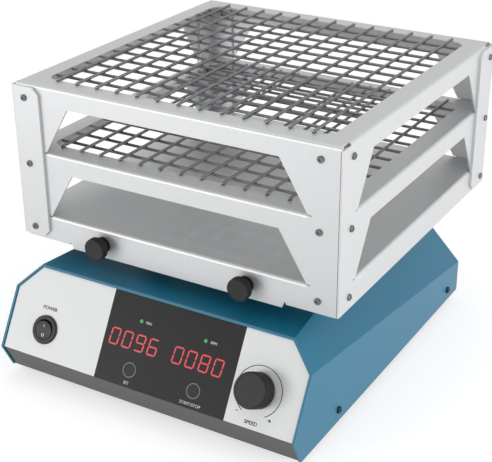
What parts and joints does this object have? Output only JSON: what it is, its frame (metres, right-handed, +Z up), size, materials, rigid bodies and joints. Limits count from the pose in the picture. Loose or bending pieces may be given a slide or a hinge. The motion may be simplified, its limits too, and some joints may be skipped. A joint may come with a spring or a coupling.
{
  "type": "orbital shaker",
  "caption": "Bench-top orbital shaker: sloping control base with display, keys and speed knob, carrying an open sheet-metal rack with stacked wire shelves.",
  "frame": {"origin": "on the bench plane under the centre of the overall outline, with the rack at rest over the crank pin", "axes": "+X to the right seen from the operator, +Y from the control panel to the rear, +Z up"},
  "size_m": [0.3134, 0.3709, 0.2635],
  "materials": {
    "rack_steel": "satin silver-grey powder coat on bent sheet steel",
    "wire_steel": "bright welded wire",
    "housing_paint": "satin teal powder coat on sheet steel",
    "pan_paint": "grey painted sheet steel",
    "panel_white": "matt white printed panel",
    "window_black": "smoked overlay",
    "digit_red": "lit red display segments",
    "lamp_green": "lit green lamps",
    "key_grey": "flush round push keys",
    "ring_light": "light rings round the keys",
    "black_plastic": "moulded black plastic",
    "zinc_steel": "zinc-plated steel",
    "stainless": "stainless fasteners",
    "rubber": "soft rubber",
    "aluminium": "machined aluminium",
    "bronze": "sintered bronze bushes",
    "ground_steel": "ground steel",
    "cast_iron": "cast counterweight",
    "board_green": "soldered circuit board",
    "brass": "plated brass terminals"
  },
  "bodies": {
    "base": {"bottom_pan": "pan_paint", "control_board": "board_green", "control_panel": "panel_white", "deck_columns": "zinc_steel", "deck_plate": "zinc_steel", "display_board": "board_green", "display_window": "window_black", "drive_belt": "rubber", "drive_fasteners": "zinc_steel", "encoder_body": "zinc_steel", "housing_shell": "housing_paint", "idler_bushes": "bronze", "idler_housings": "aluminium", "indicator_lamps": "lamp_green", "key_rings": "ring_light", "lit_segments": "digit_red", "main_bearings": "ground_steel", "main_housing": "aluminium", "mains_inlet": "black_plastic", "motor_body": "zinc_steel", "motor_bracket": "zinc_steel", "pan_nuts": "zinc_steel", "pan_screws": "zinc_steel", "power_supply": "zinc_steel", "rear_panel": "housing_paint", "rubber_feet": "rubber", "side_screws": "stainless", "switch_body": "black_plastic", "terminals": "brass"},
    "carriage": {"carriage_plate": "zinc_steel", "carriage_hubs": "aluminium", "pin_bearing": "ground_steel"},
    "drive_crank": {"drive_crank": "ground_steel", "counterweight": "cast_iron", "drive_pulley": "aluminium"},
    "motor_rotor": {"motor_pulley": "aluminium"},
    "rack": {"tray_top": "rack_steel", "tray_middle": "rack_steel", "tray_bottom": "rack_steel", "post_front_left": "rack_steel", "post_front_right": "rack_steel", "post_back_left": "rack_steel", "post_back_right": "rack_steel", "shelf_top": "wire_steel", "shelf_middle": "wire_steel", "rack_screws": "stainless", "rack_nuts": "zinc_steel"},
    "switch_rocker": {"switch_rocker": "black_plastic"},
    "key_set": {"key_set": "key_grey"},
    "key_start": {"key_start": "key_grey"},
    "speed_knob": {"speed_knob": "black_plastic"},
    "idler_front_left": {"idler_crank_front_left": "ground_steel"},
    "idler_front_right": {"idler_crank_front_right": "ground_steel"},
    "idler_back_left": {"idler_crank_back_left": "ground_steel"},
    "idler_back_right": {"idler_crank_back_right": "ground_steel"},
    "thumb_washer_left": {"thumb_washer_left": "black_plastic"},
    "thumb_screw_left": {"thumb_screw_left": "black_plastic"},
    "thumb_washer_right": {"thumb_washer_right": "black_plastic"},
    "thumb_screw_right": {"thumb_screw_right": "black_plastic"}
  },
  "joints": [
    {"name": "crank_spin", "type": "hinge", "parent": "base", "child": "drive_crank", "pos_m": [0, 0.01631, 0.1], "axis": [0, 0, 1], "continuous": true},
    {"name": "carriage_pivot", "type": "hinge", "parent": "drive_crank", "child": "carriage", "pos_m": [0, 0.02631, 0.118], "axis": [0, 0, 1], "continuous": true},
    {"name": "motor_spin", "type": "hinge", "parent": "base", "child": "motor_rotor", "pos_m": [0, 0.10431, 0.04], "axis": [0, 0, 1], "continuous": true},
    {"name": "idler_spin_front_left", "type": "hinge", "parent": "base", "child": "idler_front_left", "pos_m": [-0.07, -0.05869, 0.1], "axis": [0, 0, 1], "continuous": true},
    {"name": "idler_spin_front_right", "type": "hinge", "parent": "base", "child": "idler_front_right", "pos_m": [0.07, -0.05869, 0.1], "axis": [0, 0, 1], "continuous": true},
    {"name": "idler_spin_back_left", "type": "hinge", "parent": "base", "child": "idler_back_left", "pos_m": [-0.07, 0.09131, 0.1], "axis": [0, 0, 1], "continuous": true},
    {"name": "idler_spin_back_right", "type": "hinge", "parent": "base", "child": "idler_back_right", "pos_m": [0.07, 0.09131, 0.1], "axis": [0, 0, 1], "continuous": true},
    {"name": "rack_lift", "type": "slide", "parent": "carriage", "child": "rack", "axis": [0, 0, 1], "range_m": [0, 0.06]},
    {"name": "thumb_travel_left", "type": "slide", "parent": "rack", "child": "thumb_washer_left", "axis": [0, -1, 0], "range_m": [0, 0.006]},
    {"name": "thumb_turn_left", "type": "hinge", "parent": "thumb_washer_left", "child": "thumb_screw_left", "pos_m": [-0.0704, -0.12619, 0.1255], "axis": [0, -1, 0], "range_deg": [0, 2160]},
    {"name": "thumb_travel_right", "type": "slide", "parent": "rack", "child": "thumb_washer_right", "axis": [0, -1, 0], "range_m": [0, 0.006]},
    {"name": "thumb_turn_right", "type": "hinge", "parent": "thumb_washer_right", "child": "thumb_screw_right", "pos_m": [0.0704, -0.12619, 0.1255], "axis": [0, -1, 0], "range_deg": [0, 2160]},
    {"name": "power_rock", "type": "hinge", "parent": "base", "child": "switch_rocker", "pos_m": [-0.1057, -0.16761, 0.05239], "axis": [1, 0, 0], "range_deg": [-14, 0]},
    {"name": "speed_turn", "type": "hinge", "parent": "base", "child": "speed_knob", "pos_m": [0.1053, -0.16619, 0.05885], "axis": [0, -0.866, 0.5], "range_deg": [-149, 149]},
    {"name": "press_set", "type": "slide", "parent": "base", "child": "key_set", "axis": [0, 0.866, -0.5], "range_m": [0, 0.0008], "stiffness_N_per_m": 1200},
    {"name": "press_start", "type": "slide", "parent": "base", "child": "key_start", "axis": [0, 0.866, -0.5], "range_m": [0, 0.0008], "stiffness_N_per_m": 1200}
  ],
  "couplings": [
    {"joint": "carriage_pivot", "follows": "crank_spin", "ratio": -1},
    {"joint": "motor_spin", "follows": "crank_spin", "ratio": 4.5},
    {"joint": "idler_spin_front_left", "follows": "crank_spin", "ratio": 1},
    {"joint": "idler_spin_front_right", "follows": "crank_spin", "ratio": 1},
    {"joint": "idler_spin_back_left", "follows": "crank_spin", "ratio": 1},
    {"joint": "idler_spin_back_right", "follows": "crank_spin", "ratio": 1},
    {"joint": "thumb_travel_left", "follows": "thumb_turn_left", "m_per_rad": 0.000159},
    {"joint": "thumb_travel_right", "follows": "thumb_turn_right", "m_per_rad": 0.000159}
  ]
}
